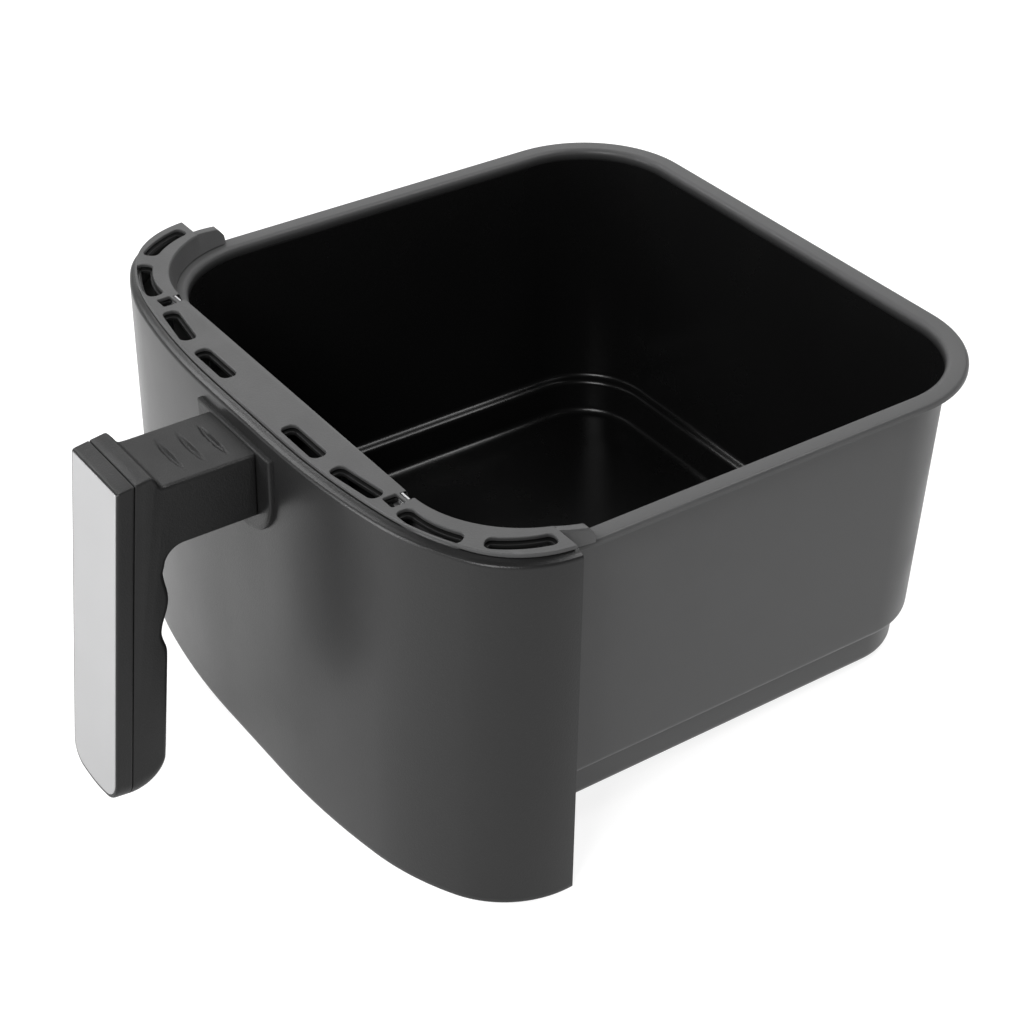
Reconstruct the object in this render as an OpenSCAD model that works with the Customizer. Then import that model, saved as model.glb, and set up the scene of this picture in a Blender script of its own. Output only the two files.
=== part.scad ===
// Pull-out drawer of a square air fryer: a drawn steel pan behind a moulded front with a fixed handle.
// Millimetres. X is left to right, -Y is the front, +Z is up.
// The origin is the centre of the pan's base, on its underside.

/* [Pan] */
// Outside width of the rim
rim_w = 250; // [244:1:256]
// Outside depth of the rim, front to back
rim_d = 234.7; // [230:0.1:238]
// Height from the underside of the base to the top of the rim
pan_h = 126.2; // [122:0.2:130]
// Corner radius of the rim in plan
rim_r = 47; // [45:0.5:49]
// Width of the flat part of the rim
lip_w = 6; // [5:0.2:6.6]
// Thickness of the coated steel
sheet = 1.2; // [1:0.1:1.4]
// Lean of the pan's walls from upright, in degrees
wall_draft = 2.8; // [2:0.1:3.2]
// Height of the inner ledge above the underside of the base
ledge_z = 17; // [14:1:20]
// Width of the inner ledge
ledge_w = 4.4; // [3.6:0.2:5]

/* [Front panel] */
// Height of the front panel's lower edge, below the pan's base
panel_bottom = -13.3; // [-15:0.1:-12]
// Distance of the panel's outer face in front of the rim, at the middle of its top
panel_gap = 18.6; // [18.2:0.1:19.6]
// Wall thickness of the front panel
panel_t = 2.4; // [2:0.1:2.6]
// Lean of the panel's face, its lower edge further out, in degrees
panel_lean = 1.4; // [1:0.1:1.8]
// Lean of the panel's two ends, their lower edges further in, in degrees
end_lean = 1; // [0.8:0.1:1.2]
// Distance of the panel's two ends in front of the pan's centre
panel_end = 86; // [85:0.5:87]
// Height of the trim plate's top above the rim
trim_rise = 8.2; // [8:0.1:9]
// Thickness of the trim plate
trim_t = 1.5; // [1.3:0.1:1.7]
// Width of the ledge between the trim plate's edge and the panel's face
ledge_out = 3.1; // [2.8:0.1:3.4]

/* [Vent slots] */
// Width of each vent slot
slot_w = 6.2; // [5.4:0.2:6.4]
// Length of each straight slot, end to end
slot_l = 23; // [20:1:24]

/* [Handle] */
// Width of the handle
handle_w = 35; // [33:0.5:36]
// Lean of the grip, its lower end further out, in degrees
grip_lean = 6.4; // [5.8:0.2:7]
// Thickness of the handle's front cover
cover_t = 6.3; // [6:0.1:7]
// Length of the grip
grip_l = 131; // [129:1:133]

/* [Hidden] */

fine = 48;          // facets asked of round parts
eps = 0.01;         // overrun of a cut past a face
big = 400;          // longer than any part of the drawer

// --- Plan centres of the pan's four corners
corner_x = rim_w / 2 - rim_r;
corner_y = rim_d / 2 - rim_r;

// --- Section of the pan: x is the distance in from the rim's outer edge, y is the height
lip_edge_r = 1.5;
lip_drop = 2.6;
lip_bend_r = 2.4;
ledge_bend_r = 2.2;
foot_bend_r = 3.2;
foot_draft = 0.4;
wall_in = lip_w + lip_bend_r;
wall_foot = wall_in + tan(wall_draft) * (pan_h - lip_bend_r - ledge_z - ledge_bend_r);
ledge_in = wall_foot + ledge_w;
floor_in = ledge_in + foot_draft + foot_bend_r;
floor_lap = 3;          // the swept section runs this far in over the floor plate

function arc(cx, cy, r, from, to, steps) =
    [for (i = [0:steps]) let (a = from + (to - from) * i / steps) [cx + r * cos(a), cy + r * sin(a)]];

function pan_inside() = concat(
    [[0, pan_h - lip_drop]],
    arc(lip_edge_r, pan_h - lip_edge_r, lip_edge_r, 180, 90, 4),
    arc(lip_w, pan_h - lip_bend_r, lip_bend_r, 90, 0, 4),
    arc(wall_foot + ledge_bend_r, ledge_z + ledge_bend_r, ledge_bend_r, 180, 270, 4),
    arc(ledge_in - ledge_bend_r, ledge_z - ledge_bend_r, ledge_bend_r, 90, 0, 4),
    arc(floor_in, sheet + foot_bend_r, foot_bend_r, 180, 270, 4),
    [[floor_in + floor_lap, sheet]]
);
function pan_outside() = concat(
    [[floor_in + floor_lap, 0]],
    arc(floor_in, sheet + foot_bend_r, foot_bend_r + sheet, 270, 180, 4),
    arc(ledge_in - ledge_bend_r, ledge_z - ledge_bend_r, ledge_bend_r - sheet, 0, 90, 3),
    arc(wall_foot + ledge_bend_r, ledge_z + ledge_bend_r, ledge_bend_r + sheet, 270, 180, 4),
    arc(lip_w, pan_h - lip_bend_r, lip_bend_r - sheet, 0, 90, 3),
    arc(lip_edge_r, pan_h - lip_edge_r, lip_edge_r - sheet, 90, 180, 3),
    [[sheet, pan_h - lip_drop]]
);
function pan_section() = concat(pan_inside(), pan_outside());

// Depth of the pan's outer wall at a height, as a distance behind the rim's outer edge
function wall_out(z) = wall_in - sheet + tan(wall_draft) * (pan_h - lip_bend_r - z);

// --- Plan outline of the front panel: a flat middle, two slow curves and a tight corner on each side
panel_front = rim_d / 2 + panel_gap;
flat_half = 22.8;
slow_r = 340;
slow_turn = 10;
mid_r = 105;
mid_turn = 29.5;
corner_r = 39.2;
slow_end_x = flat_half + slow_r * sin(slow_turn);
slow_end_y = -panel_front + slow_r * (1 - cos(slow_turn));
mid_x = slow_end_x - mid_r * sin(slow_turn);
mid_y = slow_end_y + mid_r * cos(slow_turn);
tight_x = mid_x + (mid_r - corner_r) * sin(mid_turn);
tight_y = mid_y - (mid_r - corner_r) * cos(mid_turn);
outline_back = 20;      // the outline runs on past the panel's ends and is cut there

// Right half of the outline, from the flat middle round to the end, inside the panel's face by an inset
function half_outline(inset, widen) = concat(
    arc(flat_half + widen, -panel_front + slow_r, slow_r - inset, 270, 270 + slow_turn, 4),
    arc(mid_x + widen, mid_y, mid_r - inset, 273 + slow_turn, 270 + mid_turn, 6),
    arc(tight_x + widen, tight_y, corner_r - inset, 273 + mid_turn, 360, 19),
    [[tight_x + widen + corner_r - inset, tight_y + outline_back]]
);
function mirrored(points) = [for (i = [len(points) - 1:-1:0]) [-points[i][0], points[i][1]]];

// --- Heights of the front
trim_top = pan_h + trim_rise;
trim_under = trim_top - trim_t;
seam_gap = 0.2;
ledge_drop = 0.5;       // the panel's wall stops this far below the trim plate
panel_top = trim_under - ledge_drop;
trim_end = 87;          // the trim plate stops this far in front of the pan's centre
trim_widen = 0.9;       // the ledge narrows by this much towards the panel's ends

// --- Skirt under the trim plate: it leans in over the rim and shares these corner centres
skirt_x = 79.5;
skirt_y = -71.65;
skirt_top_r = 43.2;
skirt_low_r = 41;
skirt_t = 1.5;
skirt_lap = 3;
skirt_low = pan_h + 0.5;
tongue_r = 46.8;
tongue_tip = -77.2;
tongue_tip_drop = 1.6;

// --- The liner follows the rim's outline at this clearance outside it
liner_clear = -3;
liner_t = 2;
liner_inset = panel_t + 0.4;
liner_bottom = panel_bottom + 1.5;
shelf_z = pan_h - 7;
shelf_notch = 19;
panel_screw_x = 124;
panel_screw_z = [5, 57, 109];

// --- Vent slots: two straight ones and two curved ones on each side
slot_cut = 12;
slot_near = [31, -127.6];
slot_far = [62, -125.7];
slot_far_turn = 8.5;
slot_shift = 1.2;       // the straight slots and their bosses sit this far right of the middle
slot_arc_x = 86.8;
slot_arc_y = -82;
slot_arc_r = 40;
slot_arcs = [[2.3, 30.5], [49.5, 74]];
trim_boss_r = 36.3;
trim_boss_at = 40;
front_boss_x = 46.5;
trim_screw_at = [
    for (x = [-1, 1])
        [x * (slot_arc_x + trim_boss_r * sin(trim_boss_at)), slot_arc_y - trim_boss_r * cos(trim_boss_at)],
    for (x = [-1, 1]) [slot_shift + x * front_boss_x, -rim_d / 2 - 3.9]
];

// --- Windows over the rim clips, and the notches that the clips come up through
window_x = 79.2;
window_y = -rim_d / 2 - 3.9;
window_w = 6.2;
window_d = 5.4;
notch_y = -rim_d / 2 - 0.1;
notch_w = 5;
clip_w = 4.4;
clip_t = 0.8;

// --- Handle, in its own upright frame whose z runs up the leaning grip
grip_front = rim_d / 2 + 72.6;
grip_top = pan_h + 1.6;
grip_half = handle_w / 2;
insert_t = 1.2;
adhesive_t = 0.3;
insert_half = 16.4;
insert_head = 0.4;
insert_foot = 1.5;
grip_shell = 3;
arm_top = pan_h - 1.5;
arm_under = pan_h - 26.5;
arm_shell = 3.2;
thumb_front = 172.85;
flange_t = 2;
flange_half = 25.5;
flange_r = 19;
flange_top = pan_h - 0.5;
flange_turn = pan_h - 17;
groove_pitch = 8.2;
groove_w = 1.8;
groove_r = 90;
groove_depth = 0.8;

bolt_z = [arm_top - 6.5, arm_top - 18.5];
bolt_r = 2.5;
bolt_clear_r = 2.75;
bolt_head_r = 4.4;
bolt_head_h = 3.4;
washer_r = 5;
washer_t = 1;
backing_t = 2;
threaded_l = 10;
threaded_r = 3.5;

core_w = 18;
core_t = 4;
core_arm_z = pan_h - 14;
core_arm_end = -150.4;
core_low = -104;
core_screw_z = [-45, -92];
grip_depth = 20.1;
valley = 2.3;
valley_top = -34.5;
valley_pitch = 25.7;
core_back = grip_depth - valley - grip_shell - 0.02;
lip_back = 12.6;
top_slope = 0.28;
grip_bottom_r = 60;
foot_round = grip_depth - cover_t - seam_gap;
foot_rise = 17;
arm_pocket_end = -150;
arm_fillet_r = 8;
arm_fillet_y = -167.55;
cover_screw_x = 8;
cover_screw_z = -113;

stud_x = 26;
stud_z = [68, 98];
stud_r = 2;
bracket_half = 34;
bracket_t = 1.5;
bracket_low = 58;
bracket_h = 50;
liner_screw_z = 83;
liner_screw_x = 9;

// Anything drawn upright in here leans as the panel's face does, and sideways as its end does
module leaning(side = 0) {
    translate([0, -panel_front, panel_top])
        rotate([-panel_lean, side * end_lean, 0])
            translate([0, panel_front, -panel_top])
                children();
}

// A solid of the outline's inside, leaning with the panel's face and with both its ends
module panel_block(inset) {
    intersection() {
        leaning(1) panel_half(inset);
        leaning(-1) mirror([1, 0, 0]) panel_half(inset);
    }
}

module panel_half(inset) {
    reach = 20;
    translate([0, 0, panel_bottom - reach])
        linear_extrude(height = panel_top - panel_bottom + 2 * reach)
            polygon(concat(
                [[-big / 2, tight_y + outline_back], [-big / 2, inset - panel_front]],
                half_outline(inset, 0)
            ));
}

// Everything inside the rim's outline grown by a clearance, from z low to z high
module rim_block(clear, low, high) {
    hx = rim_w / 2 + clear;
    hy = rim_d / 2 + clear;
    r = rim_r + clear;
    translate([-hx, -hy + r, low]) cube([2 * hx, 2 * (hy - r), high - low]);
    translate([-hx + r, -hy, low]) cube([2 * (hx - r), 2 * hy, high - low]);
    for (x = [-1, 1], y = [-1, 1])
        translate([x * corner_x, y * corner_y, low])
            cylinder(r = r, h = high - low, $fn = 96);
}

// A slab that keeps what lies between two heights and in front of a plane
module front_zone(back, low, high) {
    translate([-big / 2, -big, low]) cube([big, big + back, high - low]);
}

module round_slot(length, width, depth) {
    for (x = [-1, 1])
        translate([x * (length - width) / 2, 0, 0]) cylinder(d = width, h = depth, $fn = fine);
    translate([-(length - width) / 2, -width / 2, 0]) cube([length - width, width, depth]);
}

// ---------------------------------------------------------------- pan
module pan() {
    section = pan_section();
    color([0.10, 0.10, 0.11]) union() {
        for (i = [0:3]) {
            sx = (i == 0 || i == 3) ? 1 : -1;
            sy = i < 2 ? 1 : -1;
            translate([sx * corner_x, sy * corner_y, 0])
                rotate([0, 0, 90 * i])
                    rotate_extrude(angle = 90, $fn = 96)
                        polygon([for (p = section) [rim_r - p[0], p[1]]]);
        }
        for (side = [0, 1])
            rotate([0, 0, 180 * side])
                translate([0, corner_y, 0])
                    rotate([90, 0, 0])
                        linear_extrude(height = 2 * corner_y)
                            polygon([for (p = section) [rim_w / 2 - p[0], p[1]]]);
        for (side = [0, 1])
            rotate([0, 0, 90 + 180 * side])
                translate([0, corner_x, 0])
                    rotate([90, 0, 0])
                        linear_extrude(height = 2 * corner_x)
                            polygon([for (p = section) [rim_d / 2 - p[0], p[1]]]);
        pan_floor();
    }
}

module pan_floor() {
    edge_in = floor_in + floor_lap / 2;
    hx = rim_w / 2 - edge_in;
    hy = rim_d / 2 - edge_in;
    r = rim_r - edge_in;
    translate([-hx, -corner_y, 0]) cube([2 * hx, 2 * corner_y, sheet]);
    translate([-corner_x, -hy, 0]) cube([2 * corner_x, 2 * hy, sheet]);
    for (x = [-1, 1], y = [-1, 1])
        translate([x * corner_x, y * corner_y, 0]) cylinder(r = r, h = sheet, $fn = 96);
}

// The front wall's outer face, turned upright: children are placed with y = 0 on it and -y outwards
module on_front_wall(z) {
    translate([0, -(rim_d / 2 - wall_out(z)), z]) rotate([wall_draft, 0, 0]) children();
}

// Four threaded studs welded to the pan's front wall
module pan_studs() {
    color("silver")
        for (x = [-1, 1], z = stud_z)
            on_front_wall(z)
                translate([x * stud_x, 0, 0])
                    rotate([90, 0, 0])
                        cylinder(r = stud_r, h = 4.6, $fn = fine);
}

// Hat-section steel bracket that carries the front on the pan
module front_bracket() {
    hat_half = 16;
    foot_in = hat_half - bracket_t / 2;
    crown_y = -rim_d / 2 - liner_clear + 0.1;
    color([0.72, 0.72, 0.74])
        difference() {
            union() {
                on_front_wall(bracket_low)
                    for (x = [-1, 1])
                        translate([x * (bracket_half + foot_in) / 2, -bracket_t / 2 - 0.02, bracket_h / 2])
                            cube([bracket_half - foot_in, bracket_t, bracket_h], center = true);
                for (x = [-1, 1])
                    translate([x * (hat_half - bracket_t / 2), 0, 0])
                        side_view(bracket_web(crown_y), bracket_t / 2);
                translate([-hat_half, crown_y, bracket_low + 0.2])
                    cube([2 * hat_half, bracket_t, bracket_h - 0.4]);
            }
            for (x = [-1, 1], z = stud_z)
                on_front_wall(z)
                    translate([x * stud_x, 1, 0])
                        rotate([90, 0, 0])
                            cylinder(r = stud_r + 0.2, h = 10, $fn = fine);
            for (x = [-1, 1])
                translate([x * liner_screw_x, crown_y + 3, liner_screw_z])
                    rotate([90, 0, 0])
                        cylinder(r = 1.6, h = 6, $fn = fine);
        }
}

// Side view of the bracket's web: it fills the wedge between the leaning wall and the upright crown
function bracket_web(crown_y) = [
    for (z = [bracket_low, bracket_low + bracket_h]) [-rim_d / 2 + wall_out(z) - 0.1, z],
    for (z = [bracket_low + bracket_h, bracket_low]) [crown_y + 0.3, z]
];

module stud_nuts() {
    color("silver")
        for (x = [-1, 1], z = stud_z)
            on_front_wall(z)
                translate([x * stud_x, -bracket_t - 0.05, 0])
                    rotate([90, 0, 0])
                        difference() {
                            cylinder(r = 4, h = 2.4, $fn = 6);
                            translate([0, 0, -1]) cylinder(r = stud_r + 0.05, h = 6, $fn = fine);
                        }
}

// Fibre pad that shields the liner from the hot wall, cut out round the bracket
module insulation_pad() {
    pad_half = 62;
    color([0.82, 0.80, 0.74]) on_front_wall(24)
        difference() {
            translate([-pad_half, -2.8, 0]) cube([2 * pad_half, 2.5, 88]);
            translate([-bracket_half - 2, -5, 28]) cube([2 * bracket_half + 4, 6, 62]);
        }
}

// ---------------------------------------------------------------- front
// Inner moulding: a wall close behind the pan, closed ends, a floor and a shelf under the trim
module panel_liner() {
    color([0.09, 0.09, 0.09])
        difference() {
            intersection() {
                union() {
                    difference() {
                        rim_block(liner_clear + liner_t, liner_bottom, shelf_z);
                        rim_block(liner_clear, liner_bottom - 1, shelf_z + 1);
                    }
                    front_zone(-panel_end, liner_bottom, liner_bottom + liner_t);
                    front_zone(-panel_end, shelf_z - liner_t, shelf_z);
                    translate([-big / 2, -panel_end - liner_t, liner_bottom])
                        cube([big, liner_t, shelf_z - liner_bottom]);
                }
                panel_block(liner_inset);
                front_zone(-panel_end, liner_bottom, shelf_z);
            }
            rim_block(liner_clear, liner_bottom - 1, shelf_z + 1);
            translate([-shelf_notch, -big, shelf_z - 10])
                cube([2 * shelf_notch, big - rim_d / 2 - 5, 20]);
            for (x = [-1, 1])
                translate([x * liner_screw_x, -rim_d / 2 + 10, liner_screw_z])
                    rotate([90, 0, 0])
                        cylinder(r = 2.2, h = 20, $fn = fine);
            for (p = trim_screw_at)
                translate([p[0], p[1], shelf_z - 10]) cylinder(r = 1.8, h = 20, $fn = fine);
            for (x = [-1, 1], z = panel_screw_z)
                translate([x * panel_screw_x, -panel_end + 5, z])
                    rotate([90, 0, 0])
                        cylinder(r = 1.8, h = 12, $fn = fine);
        }
}

// Screws that hold the liner to the bracket, driven from the front
module liner_screws() {
    color("silver")
        for (x = [-1, 1])
            translate([x * liner_screw_x, -rim_d / 2 - liner_clear - liner_t - 0.05, liner_screw_z])
                rotate([-90, 0, 0])
                    pan_screw(3.4, 1.8, 1.5, 7);
}

// A round-headed screw: its head below z = 0 and its shank above
module pan_screw(head_r, head_h, shank_r, shank_l) {
    translate([0, 0, -head_h]) cylinder(r = head_r, h = head_h, $fn = fine);
    translate([0, 0, -eps]) cylinder(r = shank_r, h = shank_l, $fn = fine);
}

// Outer moulding: the curved face that wraps both front corners
module front_panel() {
    color([0.13, 0.13, 0.13])
        difference() {
            union() {
                difference() {
                    intersection() {
                        panel_block(0);
                        front_zone(-panel_end, panel_bottom, panel_top);
                    }
                    panel_block(panel_t);
                }
                panel_bosses();
            }
            for (x = [-1, 1], z = panel_screw_z)
                translate([x * panel_screw_x, -panel_end, z])
                    rotate([90, 0, 0])
                        cylinder(r = 1.3, h = 13, $fn = fine);
            bolt_holes(bolt_clear_r);
        }
}

// Bosses inside the panel's ends for the panel screws, each on a rib
module panel_bosses() {
    intersection() {
        for (x = [-1, 1], z = panel_screw_z) {
            translate([x * panel_screw_x, -panel_end - liner_t - 0.4, z])
                rotate([90, 0, 0])
                    cylinder(r = 3, h = 11, $fn = fine);
            translate([x * (panel_screw_x + 4.5) - 4.5, -panel_end - liner_t - 11.4, z - 1]) cube([9, 11, 2]);
        }
        panel_block(panel_t / 2);
    }
}

module panel_screws() {
    color("silver")
        for (x = [-1, 1], z = panel_screw_z)
            translate([x * panel_screw_x, -panel_end + 0.05, z])
                rotate([90, 0, 0])
                    pan_screw(2.8, 1.7, 1.25, 11);
}

// Vented plate on top, with a skirt leaning in over the rim, a tongue at each end and screw bosses
module top_trim() {
    color([0.15, 0.15, 0.15])
        difference() {
            union() {
                difference() {
                    intersection() {
                        trim_outline();
                        front_zone(-trim_end, trim_under, trim_top);
                    }
                    skirt_block(skirt_top_r + skirt_t, 0, trim_top + 1);
                }
                intersection() {
                    skirt_sweep([
                        [skirt_top_r, trim_top], [skirt_top_r + skirt_lap, trim_top],
                        [skirt_top_r + skirt_lap, trim_under], [skirt_top_r + skirt_t, trim_under],
                        [skirt_low_r + skirt_t, skirt_low], [skirt_low_r, skirt_low]
                    ]);
                    front_zone(-trim_end, 0, trim_top + 1);
                }
                trim_tongues();
                for (p = trim_screw_at)
                    translate([p[0], p[1], shelf_z + 0.2])
                        cylinder(r = 3.2, h = trim_under - shelf_z, $fn = fine);
            }
            trim_slots();
            clip_windows();
            for (p = trim_screw_at)
                translate([p[0], p[1], shelf_z - 1]) cylinder(r = 1.25, h = 11, $fn = fine);
        }
}

// The trim plate's outline, upright
module trim_outline() {
    translate([0, 0, trim_under - 5])
        linear_extrude(height = 20)
            polygon(concat(
                mirrored(half_outline(ledge_out, trim_widen)),
                half_outline(ledge_out, trim_widen)
            ));
}

// Everything inside the skirt's corners and front at a radius, from z low to z high
module skirt_block(r, low, high) {
    translate([-skirt_x, skirt_y - r, low]) cube([2 * skirt_x, 2 * r, high - low]);
    translate([-skirt_x - r, skirt_y, low]) cube([2 * (skirt_x + r), r, high - low]);
    for (x = [-1, 1])
        translate([x * skirt_x, skirt_y, low]) cylinder(r = r, h = high - low, $fn = 96);
}

// Sweeps a section, given as [distance from the corner's centre, z], round both corners and the front
module skirt_sweep(section) {
    corner_sweep(section);
    mirror([1, 0, 0]) corner_sweep(section);
    translate([-skirt_x, skirt_y, 0])
        rotate([90, 0, 90])
            linear_extrude(height = 2 * skirt_x)
                polygon([for (p = section) [-p[0], p[1]]]);
}

module corner_sweep(section) {
    translate([skirt_x, skirt_y, 0])
        rotate([0, 0, -90])
            rotate_extrude(angle = 90, $fn = 96)
                polygon(section);
}

// Tongues that carry the skirt on along the rim, past the plate's ends, falling to a bevelled tip
module trim_tongues() {
    fall = atan(tongue_tip_drop / (trim_end + tongue_tip));
    intersection() {
        for (x = [0, 1])
            mirror([x, 0, 0])
                corner_sweep([
                    [skirt_top_r, trim_top], [tongue_r, trim_top],
                    [tongue_r, skirt_low], [skirt_low_r, skirt_low]
                ]);
        difference() {
            translate([-big / 2, -trim_end - 1, 0]) cube([big, 30, big]);
            translate([-big / 2, -trim_end, trim_top]) rotate([-fall, 0, 0]) cube([big, 60, 20]);
            translate([-big / 2, tongue_tip, trim_top - tongue_tip_drop])
                rotate([-50, 0, 0])
                    cube([big, 60, 20]);
            translate([-big / 2, tongue_tip + 2.4, 0]) cube([big, 60, big]);
        }
    }
}

module trim_slots() {
    for (side = [-1, 1]) {
        translate([slot_shift + side * slot_near[0], slot_near[1], trim_under - slot_cut / 2])
            round_slot(slot_l, slot_w, slot_cut);
        translate([slot_shift + side * slot_far[0], slot_far[1], trim_under - slot_cut / 2])
            rotate([0, 0, side * slot_far_turn])
                round_slot(slot_l, slot_w, slot_cut);
        for (span = slot_arcs)
            mirror([side < 0 ? 1 : 0, 0, 0])
                translate([slot_arc_x, slot_arc_y, trim_under - slot_cut / 2])
                    curved_slot(span[0], span[1]);
    }
}

// A slot that follows the corner's arc between two angles from the front
module curved_slot(from, to) {
    rotate([0, 0, -90 + from])
        rotate_extrude(angle = to - from, $fn = 96)
            translate([slot_arc_r - slot_w / 2, 0]) square([slot_w, slot_cut]);
    for (a = [from, to])
        rotate([0, 0, -90 + a])
            translate([slot_arc_r, 0, 0])
                cylinder(d = slot_w - 2 * eps, h = slot_cut, $fn = fine);
}

// A window over each clip, and a notch in the plate's inner edge joined to it under a bridge
module clip_windows() {
    bridge_under = trim_under - 0.4;
    for (x = [-1, 1]) {
        translate([x * window_x - window_w / 2, window_y - window_d / 2, trim_under - 6])
            cube([window_w, window_d, 12]);
        translate([x * window_x - notch_w / 2, notch_y, 0])
            cube([notch_w, 12, big]);
        translate([x * window_x - notch_w / 2, window_y, 0])
            cube([notch_w, 8, bridge_under]);
    }
}

module trim_screws() {
    color("silver")
        for (p = trim_screw_at)
            translate([p[0], p[1], shelf_z - liner_t - 0.05]) pan_screw(3, 1.6, 1.2, 11);
}

// Sprung steel strips that hook the front over the rim
module rim_clip(side) {
    edge = -rim_d / 2;
    foot_z = shelf_z + 0.1;
    color([0.85, 0.85, 0.86])
        difference() {
            translate([side * window_x - clip_w / 2, 0, 0])
                rotate([90, 0, 90])
                    linear_extrude(height = clip_w)
                        polygon([
                            [edge - 9.7, foot_z], [edge - 3.7, foot_z], [edge - 2.4, pan_h + 4.4],
                            [edge - 0.7, pan_h + 4.4], [edge + 0.6, pan_h + 7], [edge + 3.6, pan_h + 0.4],
                            [edge + 4.6, pan_h + 0.4], [edge + 4.6, pan_h + 1.2], [edge + 4.1, pan_h + 1.2],
                            [edge + 0.9, pan_h + 8.1], [edge + 0.3, pan_h + 8.1], [edge - 1.2, pan_h + 5.2],
                            [edge - 3.1, pan_h + 5.2], [edge - 4.5, foot_z + clip_t],
                            [edge - 9.7, foot_z + clip_t]
                        ]);
            translate([side * window_x, window_y - 3, foot_z - 1]) cylinder(r = 1.3, h = 5, $fn = fine);
        }
}
module rim_clip_left() { rim_clip(-1); }
module rim_clip_right() { rim_clip(1); }

module clip_screws() {
    color("silver")
        for (x = [-1, 1])
            translate([x * window_x, window_y - 3, shelf_z + 0.95])
                rotate([180, 0, 0])
                    pan_screw(2.4, 1.2, 1.1, 5);
}

// ---------------------------------------------------------------- handle fixing
module at_bolts() {
    leaning()
        for (z = bolt_z)
            translate([0, -panel_front, z]) rotate([90, 0, 0]) children();
}

// Clearance holes along both handle bolts, through everything near the panel
module bolt_holes(radius) {
    at_bolts() translate([0, 0, -12]) cylinder(r = radius, h = 24, $fn = fine);
}

module handle_backing_plate() {
    color([0.7, 0.7, 0.72])
        difference() {
            leaning()
                translate([-15, -panel_front + panel_t + 0.02, arm_under - 4])
                    cube([30, backing_t, arm_top - arm_under + 2]);
            bolt_holes(bolt_clear_r);
        }
}

module bolt_washers() {
    color("silver")
        at_bolts()
            translate([0, 0, -panel_t - backing_t - washer_t - 0.05])
                difference() {
                    cylinder(r = washer_r, h = washer_t, $fn = fine);
                    translate([0, 0, -1]) cylinder(r = bolt_r + 0.05, h = 4, $fn = fine);
                }
}

module handle_bolts() {
    seat = panel_t + backing_t + washer_t + 0.08;
    color([0.6, 0.6, 0.62])
        at_bolts()
            difference() {
                union() {
                    translate([0, 0, -seat - bolt_head_h])
                        cylinder(r = bolt_head_r, h = bolt_head_h, $fn = fine);
                    translate([0, 0, -seat - eps]) cylinder(r = bolt_r, h = 16, $fn = fine);
                }
                translate([0, 0, -seat - bolt_head_h - 1]) cylinder(r = 2, h = 3, $fn = 6);
            }
}

module threaded_inserts() {
    color([0.75, 0.62, 0.3])
        at_bolts()
            translate([0, 0, flange_t + 0.4])
                difference() {
                    cylinder(r = threaded_r, h = threaded_l, $fn = fine);
                    translate([0, 0, -1]) cylinder(r = bolt_r + 0.03, h = threaded_l + 2, $fn = fine);
                }
}

// Plate with a round lower edge between the arm and the panel
module root_flange() {
    color([0.12, 0.12, 0.12])
        difference() {
            leaning()
                translate([0, -panel_front - 0.02, 0])
                    rotate([90, 0, 0])
                        linear_extrude(height = flange_t)
                            polygon(concat(
                                [[-flange_half, flange_top]],
                                arc(flange_r - flange_half, flange_turn, flange_r, 180, 270, 16),
                                arc(flange_half - flange_r, flange_turn, flange_r, 270, 360, 16),
                                [[flange_half, flange_top]]
                            ));
            bolt_holes(bolt_clear_r);
        }
}

// ---------------------------------------------------------------- handle
// The grip's frame: y = 0 on its front face, z = 0 at its top, leaning with the grip
module on_grip() {
    translate([0, -grip_front, grip_top]) rotate([-grip_lean, 0, 0]) children();
}

// Front view of the grip: straight sides, rounded lower corners and a shallow lower edge
function tongue(half, low, corner, bottom) =
    let (
        cx = half - corner,
        phi = asin(cx / (bottom - corner)),
        cy = -low + bottom - (bottom - corner) * cos(phi)
    )
    concat(
        [[half, 20]],
        arc(cx, cy, corner, 0, -90 + phi, 8),
        arc(0, -low + bottom, bottom, -90 + phi, -90 - phi, 8),
        arc(-cx, cy, corner, -90 - phi, -180, 8),
        [[-half, 20]]
    );

module tongue_block(half, low, corner, front, back) {
    on_grip()
        translate([0, back, 0])
            rotate([90, 0, 0])
                linear_extrude(height = back - front)
                    polygon(tongue(half, low, corner, grip_bottom_r));
}

// A point of the grip's side view, from its place in the grip's own frame
function grip_at(y, z) = [
    -grip_front + y * cos(grip_lean) + z * sin(grip_lean),
    grip_top - y * sin(grip_lean) + z * cos(grip_lean)
];

// Height along the grip, below its top, of a point at a depth behind its face and a height
function grip_drop(y, z) = (z - grip_top + y * sin(grip_lean)) / cos(grip_lean);

// Draws a side view, given as [y, z] points, across the handle's width
module side_view(points, half) {
    translate([-half, 0, 0])
        rotate([90, 0, 90])
            linear_extrude(height = 2 * half)
                polygon(points);
}

function grip_back() = concat(
    [for (i = [0:12])
        grip_at(grip_depth - valley * (1 + cos(i * 30)) / 2, valley_top - i * valley_pitch / 12)],
    [for (i = [1:4])
        grip_at(grip_depth - valley * (1 + cos(i * 45)) / 2, valley_top - valley_pitch - i * 2.3)]
);

function body_side() = concat(
    [grip_at(cover_t + seam_gap, top_slope * cover_t), grip_at(lip_back, top_slope * lip_back)],
    [[-thumb_front - 1.6, arm_top + 1.6], [-thumb_front, arm_top + 0.4], [-thumb_front + 2, arm_top]],
    [[-rim_d / 2, arm_top], [-rim_d / 2, arm_under]],
    arc(arm_fillet_y, arm_under - arm_fillet_r, arm_fillet_r, 90, 180, 8),
    grip_back(),
    [for (a = [0:10:90]) grip_at(
        cover_t + seam_gap + foot_round * cos(a),
        -grip_l + foot_rise - foot_rise * sin(a)
    )]
);

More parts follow.
